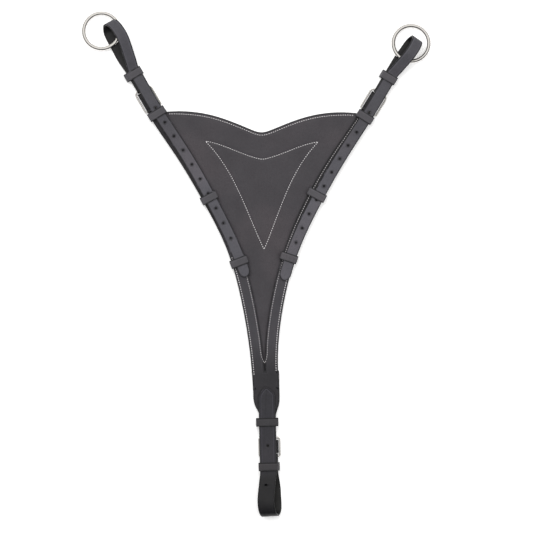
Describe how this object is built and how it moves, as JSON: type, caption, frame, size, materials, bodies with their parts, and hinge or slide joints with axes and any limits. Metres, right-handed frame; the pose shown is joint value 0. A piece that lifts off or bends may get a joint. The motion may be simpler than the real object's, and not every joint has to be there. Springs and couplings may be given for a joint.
{
  "type": "bib martingale breastplate",
  "caption": "Leather bib martingale breastplate: a V-shaped yoke on a bib panel, with adjustable buckled straps to two rein rings and a buckled girth loop.",
  "frame": {"origin": "on the bib's centre line, in the plane of its back, about 80 mm below the dip in its top edge", "axes": "+Y runs from the girth loop towards the rein rings, +Z out of the bib's face, +X to the right seen from the face"},
  "size_m": [0.4185, 0.6108, 0.0183],
  "materials": {
    "strap_leather": "black bridle leather, soft sheen, creased edges",
    "keeper_leather": "black leather, slightly worn",
    "bib_leather": "black grained leather, satin",
    "lining_leather": "black flesh side, matt",
    "thread": "off-white waxed thread",
    "nickel": "polished nickel plate"
  },
  "bodies": {
    "bib": {"bib_centre_stitching": "thread", "bib_front_panel": "bib_leather", "bib_lining": "lining_leather", "bib_top_stitching": "thread", "girth_buckle_frame": "nickel", "girth_keeper_upper": "keeper_leather", "girth_strap_tail": "strap_leather", "left_buckle_frame": "nickel", "left_keeper_2": "keeper_leather", "left_keeper_3": "keeper_leather", "left_keeper_4": "keeper_leather", "left_strap_tail": "strap_leather", "right_buckle_frame": "nickel", "right_keeper_2": "keeper_leather", "right_keeper_3": "keeper_leather", "right_keeper_4": "keeper_leather", "right_strap_tail": "strap_leather", "yoke_inner_stitching": "thread", "yoke_outer_stitching_left": "thread", "yoke_outer_stitching_right": "thread", "yoke_strap": "strap_leather"},
    "girth_buckle_tongue": {"girth_buckle_tongue": "nickel"},
    "girth_keeper_lower": {"girth_keeper_lower": "keeper_leather"},
    "girth_strap": {"girth_strap": "strap_leather"},
    "left_buckle_tongue": {"left_buckle_tongue": "nickel"},
    "left_keeper_1": {"left_keeper_1": "keeper_leather"},
    "left_rein_ring": {"left_rein_ring": "nickel"},
    "left_ring_strap": {"left_ring_strap": "strap_leather"},
    "right_buckle_tongue": {"right_buckle_tongue": "nickel"},
    "right_keeper_1": {"right_keeper_1": "keeper_leather"},
    "right_rein_ring": {"right_rein_ring": "nickel"},
    "right_ring_strap": {"right_ring_strap": "strap_leather"}
  },
  "joints": [
    {"name": "left_ring_strap_fold", "type": "hinge", "parent": "bib", "child": "left_ring_strap", "pos_m": [-0.1396, 0.1376, 0.0032], "axis": [0.8746, 0.4848, 0], "range_deg": [-40, 60]},
    {"name": "left_tongue_turn", "type": "hinge", "parent": "bib", "child": "left_buckle_tongue", "pos_m": [-0.1396, 0.1376, 0.0032], "axis": [-0.8746, -0.4848, 0], "range_deg": [0, 0.5]},
    {"name": "right_ring_strap_fold", "type": "hinge", "parent": "bib", "child": "right_ring_strap", "pos_m": [0.1442, 0.1252, 0.0032], "axis": [0.8443, -0.5358, 0], "range_deg": [-40, 60]},
    {"name": "right_tongue_turn", "type": "hinge", "parent": "bib", "child": "right_buckle_tongue", "pos_m": [0.1442, 0.1252, 0.0032], "axis": [-0.8443, 0.5358, 0], "range_deg": [0, 0.5]},
    {"name": "girth_strap_fold", "type": "hinge", "parent": "bib", "child": "girth_strap", "pos_m": [-0.0008, -0.3075, 0.0032], "axis": [-1, 0, 0], "range_deg": [-40, 60]},
    {"name": "girth_tongue_turn", "type": "hinge", "parent": "bib", "child": "girth_buckle_tongue", "pos_m": [-0.0008, -0.3075, 0.0032], "axis": [1, 0, 0], "range_deg": [0, 2]},
    {"name": "left_keeper_slide", "type": "slide", "parent": "left_ring_strap", "child": "left_keeper_1", "axis": [-0.4848, 0.8746, 0], "range_m": [-0.006, 0]},
    {"name": "right_keeper_slide", "type": "slide", "parent": "right_ring_strap", "child": "right_keeper_1", "axis": [0.5358, 0.8443, 0], "range_m": [-0.006, 0]},
    {"name": "girth_keeper_slide", "type": "slide", "parent": "girth_strap", "child": "girth_keeper_lower", "axis": [0, -1, 0], "range_m": [0, 0.0025]},
    {"name": "left_rein_ring_swing", "type": "hinge", "parent": "left_ring_strap", "child": "left_rein_ring", "pos_m": [-0.16866, 0.20144, 0.0049], "axis": [0.7455, 0.6665, 0], "range_deg": [-90, 5]},
    {"name": "right_rein_ring_swing", "type": "hinge", "parent": "right_ring_strap", "child": "right_rein_ring", "pos_m": [0.16908, 0.16664, 0.00537], "axis": [0.809, -0.5878, 0], "range_deg": [-20, 110]}
  ]
}
